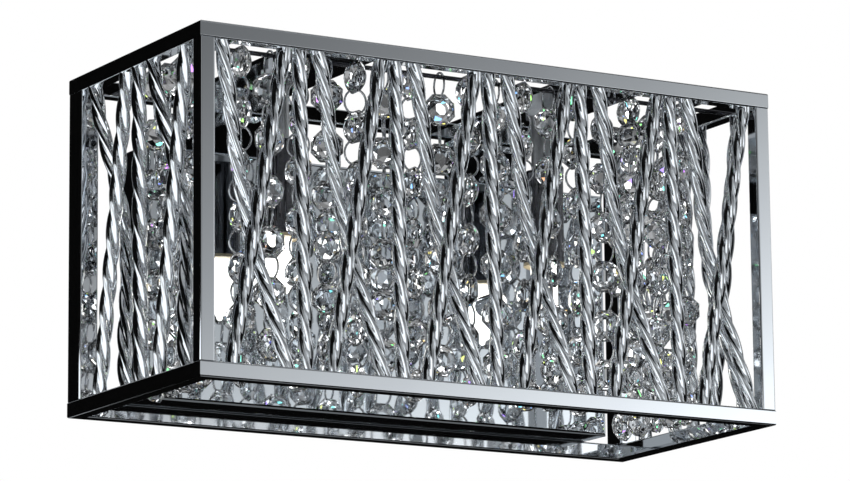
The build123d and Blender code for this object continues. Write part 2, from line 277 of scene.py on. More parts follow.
@dataclass(frozen=True)
class PanPlating:
    """The pan's metal: polished outside, and grey primer on the inside that faces the wall.

    Attributes:
        name: the material's name.
        tint: the mirror's colour.
        haze_tint: the mirror's colour where a faint haze is thickest.
        primer: the primer's colour.
        primer_shade: the primer's colour in its darker patches.
        roughness: the mirror's roughness and the primer's.
    """

    name: str
    tint: Colour
    haze_tint: Colour
    primer: Colour
    primer_shade: Colour
    roughness: Span

    HAZE_PER_METRE = 14.0
    PATCHES_PER_METRE = 120.0
    WAVE_DEPTH = mm(0.01)

    def inside(self, shader: Shader, low: Vector, high: Vector, wall: float) -> Socket:
        """A mask that is 1 on the pan's inner faces.

        Args:
            shader: the material's nodes.
            low: the lowest corner of the pan's tray.
            high: the highest corner of the pan's tray.
            wall: how thick the pan's metal is.

        Returns:
            The mask's socket.
        """
        middle = (low + high) / 2
        reach = (high - low) / 2
        moved = shader.add("ShaderNodeVectorMath")
        moved.operation = "SUBTRACT"
        moved.inputs[1].default_value = (middle.x, low.y, middle.z)
        shader.join(shader.place, moved.inputs[0])
        apart = shader.add("ShaderNodeVectorMath")
        apart.operation = "ABSOLUTE"
        shader.join(moved.outputs["Vector"], apart.inputs[0])
        axes = shader.add("ShaderNodeSeparateXYZ")
        shader.join(apart.outputs["Vector"], axes.inputs["Vector"])
        across = shader.calculate("LESS_THAN", axes.outputs["X"], reach.x - wall / 2)
        behind = shader.calculate("GREATER_THAN", axes.outputs["Y"], wall / 2)
        upright = shader.calculate("LESS_THAN", axes.outputs["Z"], reach.z - wall / 2)
        return shader.calculate("MULTIPLY", shader.calculate("MULTIPLY", across, behind), upright)

    def make(self, low: Vector, high: Vector, wall: float) -> bpy.types.Material:
        """Makes the material.

        Args:
            low: the lowest corner of the pan's tray.
            high: the highest corner of the pan's tray.
            wall: how thick the pan's metal is.

        Returns:
            The material.
        """
        shader = Shader(self.name)
        mask = self.inside(shader, low, high, wall)
        haze = shader.spread(shader.noise(self.HAZE_PER_METRE))
        mirror = shader.blend(haze, self.tint, self.haze_tint)
        patches = shader.spread(shader.noise(self.PATCHES_PER_METRE))
        primer = shader.blend(patches, self.primer_shade, self.primer)
        shader.feed(
            Base_Color=shader.blend(mask, mirror, primer),
            Metallic=shader.ramp(mask, (0.0, 1.0), (1.0, 0.0)),
            Roughness=shader.ramp(mask, (0.0, 1.0), self.roughness),
        )
        shader.bump(shader.noise(self.HAZE_PER_METRE), self.WAVE_DEPTH)
        return shader.material


@dataclass(frozen=True)
class FlutedAluminium:
    """Bright drawn aluminium with fine flutes along each lobe, lighter bands painted on them as highlights,
    and a dark band of painted shade meant for the grooves between lobes.

    Attributes:
        name: the material's name.
        tint: the colour of the lighter bands, which are painted highlights along the flutes.
        between_highlights_tint: the colour of the flutes between the painted highlight bands.
        painted_groove_shade: the near-black colour painted as shade, meant for the grooves between lobes.
        roughness: the least and the most roughness.
        streaks: how many flutes, each with a painted highlight band, there are between a groove and a crest.
        streak_depth: how deep the streaks are.
    """

    name: str
    tint: Colour
    between_highlights_tint: Colour
    painted_groove_shade: Colour
    roughness: Span
    streaks: int
    streak_depth: float

    CREST = "crest"
    # How far the painted groove shade reaches, as a share of the crest value.
    GROOVE_SHADE_WIDTH = 0.14
    GRAIN_PER_METRE = 300.0

    def make(self) -> bpy.types.Material:
        """Makes the material.

        Returns:
            The material.
        """
        shader = Shader(self.name)
        shader.set(Metallic=1.0)
        mark = shader.add("ShaderNodeAttribute")
        mark.attribute_name = self.CREST
        crest = mark.outputs["Fac"]
        turns = shader.calculate("MULTIPLY", crest, 2 * math.pi * self.streaks)
        # Cosine bands across each lobe: real flutes in the bump, and painted highlight stripes in the base
        # colour.
        flute_and_highlight = shader.ramp(shader.calculate("COSINE", turns), (-1.0, 1.0), (0.0, 1.0))
        lobe = shader.blend(flute_and_highlight, self.between_highlights_tint, self.tint)
        # Painted shade: near-black is mixed in where the crest value is below GROOVE_SHADE_WIDTH. It is
        # meant for the grooves between lobes, though the crest value is 0 at each lobe's crest and 1 in the
        # grooves.
        clear_of_groove_shade = shader.ramp(crest, (0.0, self.GROOVE_SHADE_WIDTH), (0.0, 1.0))
        grain = shader.noise(self.GRAIN_PER_METRE)
        shader.feed(
            Base_Color=shader.blend(clear_of_groove_shade, self.painted_groove_shade, lobe),
            Roughness=shader.spread(grain, self.roughness),
        )
        shader.bump(flute_and_highlight, self.streak_depth)
        return shader.material


@dataclass(frozen=True)
class BrushedZinc:
    """Zinc-plated steel, brushed along one axis.

    Attributes:
        name: the material's name.
        tint: the plating's colour.
        shade: the colour in the brush marks.
        stretch: a factor on the brush marks' scale along each axis.
    """

    name: str
    tint: Colour
    shade: Colour
    stretch: Colour = (1.0, 1.0, 1.0)

    ROUGHNESS = (0.28, 0.42)
    MARKS_PER_METRE = 900.0
    MARK_DEPTH = mm(0.01)

    def make(self) -> bpy.types.Material:
        """Makes the material.

        Returns:
            The material.
        """
        shader = Shader(self.name)
        shader.set(Metallic=1.0)
        marks = shader.noise(self.MARKS_PER_METRE, self.stretch)
        shader.feed(
            Base_Color=shader.blend(marks, self.shade, self.tint),
            Roughness=shader.spread(marks, self.ROUGHNESS),
        )
        shader.bump(marks, self.MARK_DEPTH)
        return shader.material


@dataclass(frozen=True)
class CutCrystal:
    """Cut crystal, clear with smoky clouds.

    Attributes:
        name: the material's name.
        tint: the glass's colour where it is clearest.
        smoke: its colour in the clouds.
        index: its index of refraction.
        clouds_per_metre: how many clouds there are to a metre.
    """

    name: str
    tint: Colour
    smoke: Colour
    index: float
    clouds_per_metre: float

    def make(self) -> bpy.types.Material:
        """Makes the material.

        Returns:
            The material.
        """
        shader = Shader(self.name)
        shader.set(Roughness=0.0, IOR=self.index, Transmission_Weight=1.0)
        clouds = shader.spread(shader.noise(self.clouds_per_metre))
        shader.feed(Base_Color=shader.blend(clouds, self.tint, self.smoke))
        return shader.material


@dataclass(frozen=True)
class LitGlass:
    """The frosted glass of a capsule lamp that is switched on.

    Attributes:
        name: the material's name.
        tint: the glass's own colour.
        glow: the light's colour at the filament.
        edge_glow: its colour away from the filament.
        strength: how bright the glow is.
    """

    name: str
    tint: Colour
    glow: Colour
    edge_glow: Colour
    strength: float

    ROUGHNESS = 0.25
    PATCHES_PER_METRE = 160.0

    def make(self) -> bpy.types.Material:
        """Makes the material.

        Returns:
            The material.
        """
        shader = Shader(self.name)
        shader.set(Base_Color=(*self.tint, 1.0), Roughness=self.ROUGHNESS, Emission_Strength=self.strength)
        patches = shader.spread(shader.noise(self.PATCHES_PER_METRE))
        shader.feed(Emission_Color=shader.blend(patches, self.edge_glow, self.glow))
        return shader.material


@dataclass(frozen=True)
class GlazedCeramic:
    """A lampholder's tan ceramic with darker specks.

    Attributes:
        name: the material's name.
        body: the clay's colour.
        speck: the colour of the specks.
    """

    name: str
    body: Colour
    speck: Colour

    ROUGHNESS = (0.35, 0.5)
    SPECKS_PER_METRE = 2200.0
    PIT_DEPTH = mm(0.05)

    def make(self) -> bpy.types.Material:
        """Makes the material.

        Returns:
            The material.
        """
        shader = Shader(self.name)
        specks = shader.spread(shader.noise(self.SPECKS_PER_METRE))
        shader.feed(
            Base_Color=shader.blend(specks, self.speck, self.body),
            Roughness=shader.spread(specks, self.ROUGHNESS),
        )
        shader.bump(specks, self.PIT_DEPTH)
        return shader.material


FRAME_CHROME = PolishedMetal(
    "frame_chrome", (0.84, 0.86, 0.88), (0.80, 0.82, 0.85), roughness=(0.03, 0.06),
    haze_scale=18.0, wave_scale=25.0, wave_depth=mm(0.004),
)
# Dark chrome: the lamp sleeves' own dark finish, and on the hanging wires a darker copy of the chrome as
# painted shade.
DARK_AND_SHADED_CHROME = PolishedMetal(
    "dark_chrome", (0.16, 0.16, 0.17), (0.10, 0.10, 0.11), roughness=(0.08, 0.16),
    haze_scale=60.0, wave_scale=90.0, wave_depth=mm(0.004),
)
LINK_CHROME = PolishedMetal(
    "link_chrome", (0.70, 0.71, 0.73), (0.60, 0.61, 0.63), roughness=(0.06, 0.12),
    haze_scale=300.0, wave_scale=400.0, wave_depth=mm(0.01),
)
# Rod finish: lighter bands painted as highlights along the flutes, and a near-black painted shade meant for
# the grooves.
ROD_ALUMINIUM = FlutedAluminium(
    "rod_aluminium", (0.95, 0.96, 0.98), (0.82, 0.85, 0.88), (0.05, 0.05, 0.06), roughness=(0.08, 0.14),
    streaks=3, streak_depth=mm(0.002),
)
PAN_MIRROR = PanPlating(
    "pan_mirror", (0.84, 0.88, 0.91), (0.80, 0.84, 0.88), primer=(0.62, 0.63, 0.64),
    primer_shade=(0.55, 0.56, 0.57), roughness=(0.03, 0.6),
)
CROSSBAR_ZINC = BrushedZinc("crossbar_zinc", (0.66, 0.67, 0.68), (0.48, 0.49, 0.51), (0.03, 1.0, 1.0))
SCREW_ZINC = BrushedZinc("screw_zinc", (0.70, 0.71, 0.72), (0.52, 0.53, 0.55))
GROUND_ZINC = BrushedZinc("ground_zinc", (0.12, 0.42, 0.17), (0.05, 0.25, 0.09))
CRYSTAL = CutCrystal(
    "cut_crystal", (0.97, 0.98, 0.99), (0.80, 0.82, 0.84), index=1.62, clouds_per_metre=180.0
)
LAMP_GLASS = LitGlass(
    "lamp_glass", (0.95, 0.95, 0.93), glow=(1.0, 0.97, 0.90), edge_glow=(1.0, 0.95, 0.86), strength=3.0
)
CERAMIC = GlazedCeramic("socket_ceramic", (0.62, 0.53, 0.36), (0.44, 0.36, 0.23))


def dress(node: str, finish: bpy.types.Material) -> None:
    """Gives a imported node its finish.

    Args:
        node: the node's name.
        finish: the material for it.
    """
    piece = frame["nodes"][node]
    piece.data.materials.clear()
    piece.data.materials.append(finish)
    LOG.info("dressed %s with %s", node, finish.name)


def new_piece(name: str, shape: bmesh.types.BMesh, finish: bpy.types.Material) -> bpy.types.Object:
    """Turns a finished shape into an object at the origin.

    Args:
        name: the object's name.
        shape: the shape, which is used up.
        finish: the material for it.

    Returns:
        The new object.
    """
    mesh = bpy.data.meshes.new(name)
    shape.to_mesh(mesh)
    shape.free()
    mesh.materials.append(finish)
    piece = bpy.data.objects.new(name, mesh)
    bpy.context.scene.collection.objects.link(piece)
    LOG.info("built %s with %d faces", name, len(mesh.polygons))
    return piece


def append_copy(shape: bmesh.types.BMesh, mesh: bpy.types.Mesh, place: Matrix) -> None:
    """Adds a placed copy of a mesh to a shape.

    Args:
        shape: the shape that grows.
        mesh: the mesh to copy.
        place: where the copy goes.
    """
    first = len(shape.verts)
    shape.from_mesh(mesh)
    shape.verts.ensure_lookup_table()
    bmesh.ops.transform(shape, matrix=place, verts=shape.verts[first:])


@dataclass
class BoxFrame:
    """The open box of square bars and the wires that carry the strands.

    Attributes:
        levels: the words for the two rectangles of rails.
        walls: the words for a rectangle's rails, those with posts at their ends first.
    """

    levels: tuple[str, ...] = ("top", "bottom")
    walls: tuple[str, ...] = ("front", "back", "left", "right")

    def dress(self) -> None:
        """Gives the bars and the wires their finishes."""
        chrome = FRAME_CHROME.make()
        for level in self.levels:
            for wall in self.walls:
                dress(f"{level}_{wall}_rail", chrome)
        for wall in self.walls[:2]:
            for side in Side:
                dress(f"{wall}_{side.word}_post", chrome)
        # The hanging wires get the darker chrome as painted shade, for the shade under the rails.
        dress("hanging_wires", DARK_AND_SHADED_CHROME.make())


@dataclass
class RodRow:
    """One wall of twisted rods, in groups of a crossing pair and an upright.

    Attributes:
        nodes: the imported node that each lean's rods are in.
        start: the opening's corner, in plan, where the first group stands.
        end: the opening's other corner.
        inward: the way into the box.
        groups: how many crossing pairs there are.
        end_gap: room between the opening's ends and the outermost rods.
        radius: how far a rod's crests reach from its middle.
        strand_radius: the radius of one lobe.
        turn: the length of rod in which the lobes go round once.
        pair_offset: how far the two rods of a pair stand apart along the opening.
        crossing_gap: room between the two rods of a pair where they cross.
        lobes: how many lobes a rod has.
        sides_per_lobe: how finely a lobe is drawn round its section.
        steps_per_turn: how finely a turn is drawn along the rod.
    """

    nodes: dict[Lean, str]
    start: Vector
    end: Vector
    inward: Vector
    groups: int
    end_gap: float
    radius: float = mm(3.4)
    strand_radius: float = mm(1.66)
    turn: float = mm(49.0)
    pair_offset: float = mm(2.5)
    crossing_gap: float = mm(0.4)
    lobes: int = 3
    sides_per_lobe: int = 10
    steps_per_turn: int = 36

    def reach(self, angle: float) -> float:
        """How far the rope-like section reaches from its middle.

        Args:
            angle: the direction, in radians, from the middle of a lobe.

        Returns:
            The distance from the middle to the surface.
        """
        lobe_angle = 2 * math.pi / self.lobes
        aside = (angle + lobe_angle / 2) % lobe_angle - lobe_angle / 2
        out = self.radius - self.strand_radius
        return out * math.cos(aside) + math.sqrt(self.strand_radius ** 2 - (out * math.sin(aside)) ** 2)

    def middles(self) -> dict[Lean, list[float]]:
        """Works out where the rods stand.

        Returns:
            The places of the rods' middles along the opening, from its centre, for each lean.
        """
        opening = (self.end - self.start).length
        lean = mm(Lean.RIGHT.value)
        pitch = (opening - 2 * self.end_gap - lean) / (self.groups - 1)
        places = [self.end_gap + lean / 2 - opening / 2 + group * pitch for group in range(self.groups)]
        return {
            Lean.RIGHT: places,
            Lean.LEFT: [place + self.pair_offset for place in places],
            Lean.UPRIGHT: [place + pitch / 2 for place in places[:-1]],
        }

    def add_section(self, shape: bmesh.types.BMesh, phase: float) -> list[bmesh.types.BMEdge]:
        """Adds a rod's lobed section at the origin, with its crests marked.

        Args:
            shape: the shape that it is added to.
            phase: the section's turn, in radians.

        Returns:
            The section's edges.
        """
        corners = bmesh.ops.create_circle(
            shape, segments=self.lobes * self.sides_per_lobe, radius=self.radius
        )["verts"]
        crest = shape.verts.layers.float[FlutedAluminium.CREST]
        for corner in corners:
            angle = math.atan2(corner.co.y, corner.co.x)
            corner[crest] = abs((angle * self.lobes / math.pi + 1) % 2 - 1)
            corner.co *= self.reach(angle) / self.radius
        bmesh.ops.rotate(shape, verts=corners, matrix=Matrix.Rotation(phase, 3, "Z"))
        return list({edge for corner in corners for edge in corner.link_edges})

    def add_rod(self, shape: bmesh.types.BMesh, lean: Lean, middle: float, phase: float) -> None:
        """Adds one twisted rod.

        Args:
            shape: the shape that it is added to.
            lean: how the rod stands.
            middle: the place of its middle along the opening.
            phase: the turn of its section at the top, in radians.
        """
        low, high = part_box(self.nodes[lean])
        length = high.z - low.z
        along = (self.end - self.start).normalized()
        foot = along * mm(lean.value)
        top = (self.start + self.end) / 2 + along * middle - foot / 2 + Vector((0, 0, high.z))
        bow = self.inward * (2 * self.radius + self.crossing_gap if lean is Lean.RIGHT else 0.0)
        first = len(shape.verts)
        rim = self.add_section(shape, phase)
        steps = round(length / self.turn * self.steps_per_turn)
        twist = 2 * math.pi * length / self.turn
        swept = bmesh.ops.spin(
            shape, geom=rim, axis=(0, 0, 1), dvec=(0, 0, -length / steps), angle=twist, steps=steps
        )
        foot_rim = [part for part in swept["geom_last"] if isinstance(part, bmesh.types.BMEdge)]
        for end_rim in (rim, foot_rim):
            cap = bmesh.ops.contextual_create(shape, geom=end_rim)
            for edge in cap["faces"][0].edges:
                edge.smooth = False
        shape.verts.ensure_lookup_table()
        for point in shape.verts[first:]:
            share = -point.co.z / length
            point.co += foot * share + bow * math.sin(math.pi * share) ** 2
        bmesh.ops.translate(shape, verts=shape.verts[first:], vec=top)

    def build(self, finish: bpy.types.Material, seed: int) -> None:
        """Builds the row's rods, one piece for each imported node.

        Args:
            finish: the rods' material.
            seed: what the turns of the rods' ends are drawn from.
        """
        draw = random.Random(seed)
        shapes = {node: bmesh.new() for node in self.nodes.values()}
        for shape in shapes.values():
            shape.verts.layers.float.new(FlutedAluminium.CREST)
        for lean, places in self.middles().items():
            for middle in places:
                self.add_rod(shapes[self.nodes[lean]], lean, middle, draw.uniform(0, 2 * math.pi))
        for node, shape in shapes.items():
            bmesh.ops.recalc_face_normals(shape, faces=shape.faces)
            for face in shape.faces:
                face.smooth = True
            piece = new_piece(f"twisted_{node}", shape, finish)
            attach(piece, FRAME_BODY)
            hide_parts(node)


class StrandPiece(Enum):
    """What strands are made of, and what one may hang by on its wire."""

    RING = "ring"
    CRYSTAL = "crystal"


@dataclass
class CrystalStrand:
    """Cut crystals and wire rings, one through the next, that swing as one body on a hanging wire.

    Attributes:
        body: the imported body, and the node, that the strand stands for.
        hook: the point on the wire that it hangs from.
        wire_way: the wire's direction.
        top: what it hangs by.
        rings: how many rings it has.
        crystal_size: a crystal's width across its flats.
        crystal_hole_edge: the glass left between a crystal's hole and its edge.
        ring_height: a ring's outer height.
        ring_width: a ring's outer width.
        ring_wire: the thickness of a ring's wire.
        wire_room: from the hanging wire's middle to what hangs on it.
        sway: how far a piece may be turned about the strand.
        top_sway: how far the top piece may be turned.
        tilt: how far a piece may lean.
    """

    body: str
    hook: Vector
    wire_way: Vector
    top: StrandPiece
    rings: int = 6
    crystal_size: float = mm(14.0)
    crystal_hole_edge: float = mm(1.0)
    ring_height: float = mm(12.0)
    ring_width: float = mm(10.4)
    ring_wire: float = mm(1.0)
    wire_room: float = mm(1.3)
    sway: float = math.radians(36.0)
    top_sway: float = math.radians(5.0)
    tilt: float = math.radians(3.0)

    def places(self, draw: random.Random) -> list[tuple[StrandPiece, Matrix]]:
        """Works out where each ring and crystal hangs, from the top down.

        Args:
            draw: what the pieces' turns are drawn from.

        Returns:
            What each piece is, and its place.
        """
        step = (self.ring_height + self.crystal_size) / 2 - self.ring_wire - self.crystal_hole_edge
        order = [StrandPiece.RING, StrandPiece.CRYSTAL] * self.rings
        level = self.wire_room + self.ring_wire - self.ring_height / 2
        turn = math.atan2(self.wire_way.y, self.wire_way.x)
        if self.top is StrandPiece.CRYSTAL:
            order.insert(0, StrandPiece.CRYSTAL)
            level = self.wire_room + self.crystal_hole_edge - self.crystal_size / 2
            turn += math.pi / 2
        placed = []
        for number, kind in enumerate(order):
            sway = self.sway if number else self.top_sway
            tilt = self.tilt if number else 0.0
            swung = Matrix.Rotation(turn + draw.uniform(-sway, sway), 4, "Z")
            tilted = Matrix.Rotation(draw.uniform(-tilt, tilt), 4, "Y")
            drop = Matrix.Translation(self.hook + Vector((0, 0, level - step * number)))
            placed.append((kind, drop @ swung @ tilted))
        return placed

    def build(self, kit: "StrandKit", draw: random.Random) -> None:
        """Builds the strand's crystals and its rings.

        Args:
            kit: the meshes and finishes that strands share.
            draw: what the pieces' turns are drawn from.
        """
        shapes = {kind: bmesh.new() for kind in StrandPiece}
        for kind, place in self.places(draw):
            append_copy(shapes[kind], kit.meshes[kind], place)
        cut = new_piece(f"{self.body}_crystals", shapes[StrandPiece.CRYSTAL], kit.crystal_finish)
        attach(cut, self.body)
        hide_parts(self.body)
        wire = new_piece(f"{self.body}_rings", shapes[StrandPiece.RING], kit.ring_finish)
        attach(wire, self.body)


@dataclass(frozen=True)
class Tier:
    """A round of corners on a cut crystal, the same on its front and on its back.

    Attributes:
        radius: how far the corners stand from the middle.
        height: how far they stand before and behind the girdle's plane.
        sides: how many corners there are.
        offset: their turn, as a share of the angle between two corners.
    """

    radius: float
    height: float
    sides: int
    offset: float


CRYSTAL_TIERS = (
    Tier(mm(7.5), mm(0.4), 8, 0.5),
    Tier(mm(6.2), mm(2.0), 16, 0.5),
    Tier(mm(4.7), mm(3.2), 8, 0.0),
    Tier(mm(3.2), mm(3.9), 8, 0.5),
)


class StrandKit:
    """The crystal and the ring that all strands are made of."""

    FLAT_ANGLE = math.radians(1)
    RING_STEPS = 20
    RING_WIRE_SIDES = 6

    def __init__(self, strand: type[CrystalStrand]) -> None:
        """Makes both meshes and their finishes.

        Args:
            strand: the class whose sizes the ring follows.
        """
        self.crystal_finish = CRYSTAL.make()
        self.ring_finish = LINK_CHROME.make()
        ring = self.bent_ring(strand.ring_height, strand.ring_width, strand.ring_wire)
        self.meshes = {StrandPiece.CRYSTAL: self.cut_crystal(), StrandPiece.RING: ring}

    def cut_crystal(self) -> bpy.types.Mesh:
        """Makes an octagon crystal in the XZ plane, cut in tiers from its girdle to its two tables.

        Returns:
            The crystal's mesh.
        """
        shape = bmesh.new()
        upright = Matrix.Rotation(math.pi / 2, 4, "X")
        for tier in CRYSTAL_TIERS:
            turn = Matrix.Rotation(2 * math.pi * tier.offset / tier.sides, 4, "Z")
            for face in (-1, 1):
                place = upright @ Matrix.Translation((0, 0, face * tier.height)) @ turn
                bmesh.ops.create_circle(shape, segments=tier.sides, radius=tier.radius, matrix=place)
        bmesh.ops.delete(shape, geom=shape.edges[:], context="EDGES_FACES")
        bmesh.ops.convex_hull(shape, input=shape.verts)
        bmesh.ops.dissolve_limit(shape, angle_limit=self.FLAT_ANGLE, verts=shape.verts, edges=shape.edges)
        bmesh.ops.recalc_face_normals(shape, faces=shape.faces)
        return self.kept(shape, "crystal")

    def bent_ring(self, height: float, width: float, wire: float) -> bpy.types.Mesh:
        """Makes a wire ring in the YZ plane, a little taller than wide.

        Args:
            height: its outer height.
            width: its outer width.
            wire: the wire's diameter.

        Returns:
            The ring's mesh.
        """
        shape = bmesh.new()
        middle = (width - wire) / 2
        place = Matrix.Translation((middle, 0, 0)) @ Matrix.Rotation(math.pi / 2, 4, "X")
        bmesh.ops.create_circle(shape, segments=self.RING_WIRE_SIDES, radius=wire / 2, matrix=place)
        bmesh.ops.spin(
            shape, geom=shape.edges[:], axis=(0, 0, 1), angle=2 * math.pi, steps=self.RING_STEPS,
            use_merge=True,
        )
        stretch = (height - wire) / (width - wire)
        for point in shape.verts:
            point.co.x += (stretch - 1) * middle * math.cos(math.atan2(point.co.y, point.co.x))
        bmesh.ops.rotate(shape, verts=shape.verts, matrix=Matrix.Rotation(math.pi / 2, 3, "Y"))
        bmesh.ops.recalc_face_normals(shape, faces=shape.faces)
        for face in shape.faces:
            face.smooth = True
        return self.kept(shape, "ring")

    def kept(self, shape: bmesh.types.BMesh, name: str) -> bpy.types.Mesh:
        """Keeps a shape as a mesh to copy from.

        Args:
            shape: the shape, which is used up.
            name: the mesh's name.

        Returns:
            The mesh.
        """
        mesh = bpy.data.meshes.new(name)
        shape.to_mesh(mesh)
        shape.free()
        return mesh


@dataclass
class LampPair:
    """The straps across the top and the two lamps that hang from them.

    Attributes:
        threaded: the nodes of the threaded pieces that hold both lamps.
    """

    threaded: tuple[str, ...] = ("lamp_nipples", "nipple_nuts")

    def dress(self) -> None:
        """Gives the lamps' pieces their finishes."""
        zinc = SCREW_ZINC.make()
        finishes = {
            "lamp_strap": FRAME_CHROME.make(),
            "lamp_sleeve": DARK_AND_SHADED_CHROME.make(),
            "lamp_socket": CERAMIC.make(),
            "bulb": LAMP_GLASS.make(),
            "bulb_pins": zinc,
        }
        for side in Side:
            for part, finish in finishes.items():
                dress(f"{side.word}_{part}", finish)
        for node in self.threaded:
            dress(node, zinc)


@dataclass
class WallFixing:
    """The polished pan and what holds it on the wall.

    Attributes:
        pan_wall: how thick the pan's metal is.
    """

    pan_wall: float = mm(1.2)

    def dress(self) -> None:
        """Gives the pan and its hardware their finishes."""
        low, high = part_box("back_pan")
        high.z = -low.z
        dress("back_pan", PAN_MIRROR.make(low, high, self.pan_wall))
        dress("wall_crossbar", CROSSBAR_ZINC.make())
        dress("ground_screw", GROUND_ZINC.make())
        dress("pan_studs", SCREW_ZINC.make())
        dress("cap_nuts", FRAME_CHROME.make())


@dataclass(frozen=True)
class Card:
    """A curved card round the light, which only mirrors and glass see.

    Attributes:
        name: the card's name.
        first: the bearing of its first edge, in degrees from the front to the right.
        last: the bearing of its last edge.
        low: the height of its lower edge.
        high: the height of its upper edge.
        glow: how bright it is at its middle.
        rightward: how much the glow's logarithm rises for each metre to the right.
        upward: how much the glow's logarithm rises for each metre up.
        through_glass: whether the crystals bend it into view.
    """

    name: str
    first: float
    last: float
    low: float
    high: float
    glow: float
    rightward: float = 0.0
    upward: float = 0.0
    through_glass: bool = True

    DISTANCE = 1.5
    STEPS = 24
    TINT = (0.93, 0.97, 1.0, 1.0)
    DARKEST = 0.02
    BRIGHTEST = 1.3

    @property
    def bearing(self) -> float:
        """The bearing of the card's middle, in radians."""
        return math.radians((self.first + self.last) / 2)

    @property
    def middle(self) -> Vector:
        """The card's middle."""
        out = Vector((math.sin(self.bearing), -math.cos(self.bearing), 0)) * self.DISTANCE
        return out + Vector((0, 0, (self.low + self.high) / 2))

    def cloth(self) -> bpy.types.Material:
        """Makes the card's glowing cloth, which may fade along it and up it.

        Returns:
            The cloth's material.
        """
        shader = Shader(f"{self.name}_cloth")
        shader.set(Base_Color=BLACK, Specular_IOR_Level=0.0, Emission_Color=self.TINT)
        along = Vector((math.cos(self.bearing), math.sin(self.bearing), 0))
        slope = along * self.rightward + Vector((0, 0, self.upward))
        fade = shader.add("ShaderNodeVectorMath")
        fade.operation = "DOT_PRODUCT"
        fade.inputs[1].default_value = slope
        shader.join(shader.place, fade.inputs[0])
        start = math.log(self.glow) - slope.dot(self.middle)
        glow = shader.calculate("EXPONENT", shader.calculate("ADD", fade.outputs["Value"], start))
        bounded = shader.add("ShaderNodeClamp", Min=self.DARKEST, Max=self.BRIGHTEST)
        shader.join(glow, bounded.inputs["Value"])
        shader.feed(Emission_Strength=bounded.outputs["Result"])
        return shader.material

    def build(self) -> bpy.types.Object:
        """Builds the card.

        Returns:
            The card.
        """
        first = math.radians(self.first)
        out = Vector((math.sin(first), -math.cos(first), 0)) * self.DISTANCE
        shape = bmesh.new()
        foot = shape.verts.new(out + Vector((0, 0, self.low)))
        head = shape.verts.new(out + Vector((0, 0, self.high)))
        rim = shape.edges.new((foot, head))
        angle = math.radians(self.last) - first
        bmesh.ops.spin(shape, geom=[rim], axis=(0, 0, 1), angle=angle, steps=self.STEPS)
        return new_piece(self.name, shape, self.cloth())


CARDS = (
    Card("low_card", -132.0, -34.0, -0.85, 0.2, 1.3, through_glass=False),
    Card("camera_card", -33.0, 8.0, -0.85, 0.75, 0.34, rightward=0.3, upward=-0.3),
    Card("softbox", 13.0, 50.0, 0.0, 0.5, 0.69, rightward=1.87, upward=-4.15),
    Card("right_card", 58.0, 96.0, 0.05, 0.85, 0.7),
    Card("low_right_card", 58.0, 96.0, -0.85, 0.0, 0.15, through_glass=False),
    Card("high_card", 13.0, 50.0, 0.53, 0.85, 0.5, through_glass=False),
    Card("high_back_card", 136.0, 168.0, 0.1, 0.85, 0.4, through_glass=False),
    Card("back_right_card", 102.0, 134.0, -0.85, 0.85, 0.3, upward=0.5, through_glass=False),
    Card("back_card", 170.0, 196.0, -0.85, 0.85, 0.4, upward=0.5, through_glass=False),
)


@dataclass(frozen=True)
class RoundCard:
    """A level round card over or under the light, which only metal mirrors.

    Attributes:
        name: the card's name.
        level: its height.
        glow: how bright it is.
    """

    name: str
    level: float
    glow: float

    RADIUS = 0.75
    CORNERS = 48
    WEAVE_PER_METRE = 300.0
    WEAVE = (0.95, 1.05)

    through_glass = False

    def cloth(self) -> bpy.types.Material:
        """Makes the card's glowing cloth, with a faint weave.

        Returns:
            The cloth's material.
        """
        shader = Shader(f"{self.name}_cloth")
        shader.set(Base_Color=BLACK, Specular_IOR_Level=0.0, Emission_Color=Card.TINT)
        weave = shader.noise(self.WEAVE_PER_METRE)
        least, most = self.WEAVE
        shader.feed(Emission_Strength=shader.spread(weave, (least * self.glow, most * self.glow)))
        return shader.material

    def build(self) -> bpy.types.Object:
        """Builds the card.

        Returns:
            The card.
        """
        shape = bmesh.new()
        place = Matrix.Translation((0, 0, self.level))
        bmesh.ops.create_circle(
            shape, cap_ends=True, segments=self.CORNERS, radius=self.RADIUS, matrix=place
        )
        return new_piece(self.name, shape, self.cloth())


ROUND_CARDS = (RoundCard("ceiling_card", 0.84, 0.4), RoundCard("floor_card", -0.87, 0.15))


@dataclass(frozen=True)
class StudioLamp:
    """A lamp that faces the light, and that metal doesn't mirror.

    Attributes:
        name: its name.
        bearing: its bearing, in degrees from the front to the right.
        height: its height.
        size: its width.
        watts: its power.
    """

    name: str
    bearing: float
    height: float
    size: float = 0.12
    watts: float = 0.9

    DISTANCE = 1.2

    def build(self) -> None:
        """Adds the lamp to the scene."""
        data = bpy.data.lights.new(self.name, "AREA")
        data.size = self.size
        data.energy = self.watts
        lamp = bpy.data.objects.new(self.name, data)
        turn = math.radians(self.bearing)
        out = Vector((math.sin(turn), -math.cos(turn), 0)) * self.DISTANCE
        lamp.location = out + Vector((0, 0, self.height))
        lamp.rotation_euler = lamp.location.to_track_quat("Z", "Y").to_euler()
        lamp.visible_glossy = False
        bpy.context.scene.collection.objects.link(lamp)


STUDIO_LAMPS = (
    StudioLamp("sparkle_0", -80.0, 0.55),
    StudioLamp("sparkle_1", -25.0, 0.7),
    StudioLamp("sparkle_2", 35.0, 0.75),
    StudioLamp("sparkle_3", 95.0, 0.5),
    StudioLamp("sparkle_4", 150.0, 0.6),
    StudioLamp("sparkle_5", -150.0, 0.6),
    StudioLamp("sparkle_6", 20.0, -0.6),
    StudioLamp("sparkle_7", -60.0, -0.5),
    StudioLamp("top_lamp", 0.0, 0.8, size=0.3, watts=4.0),
)


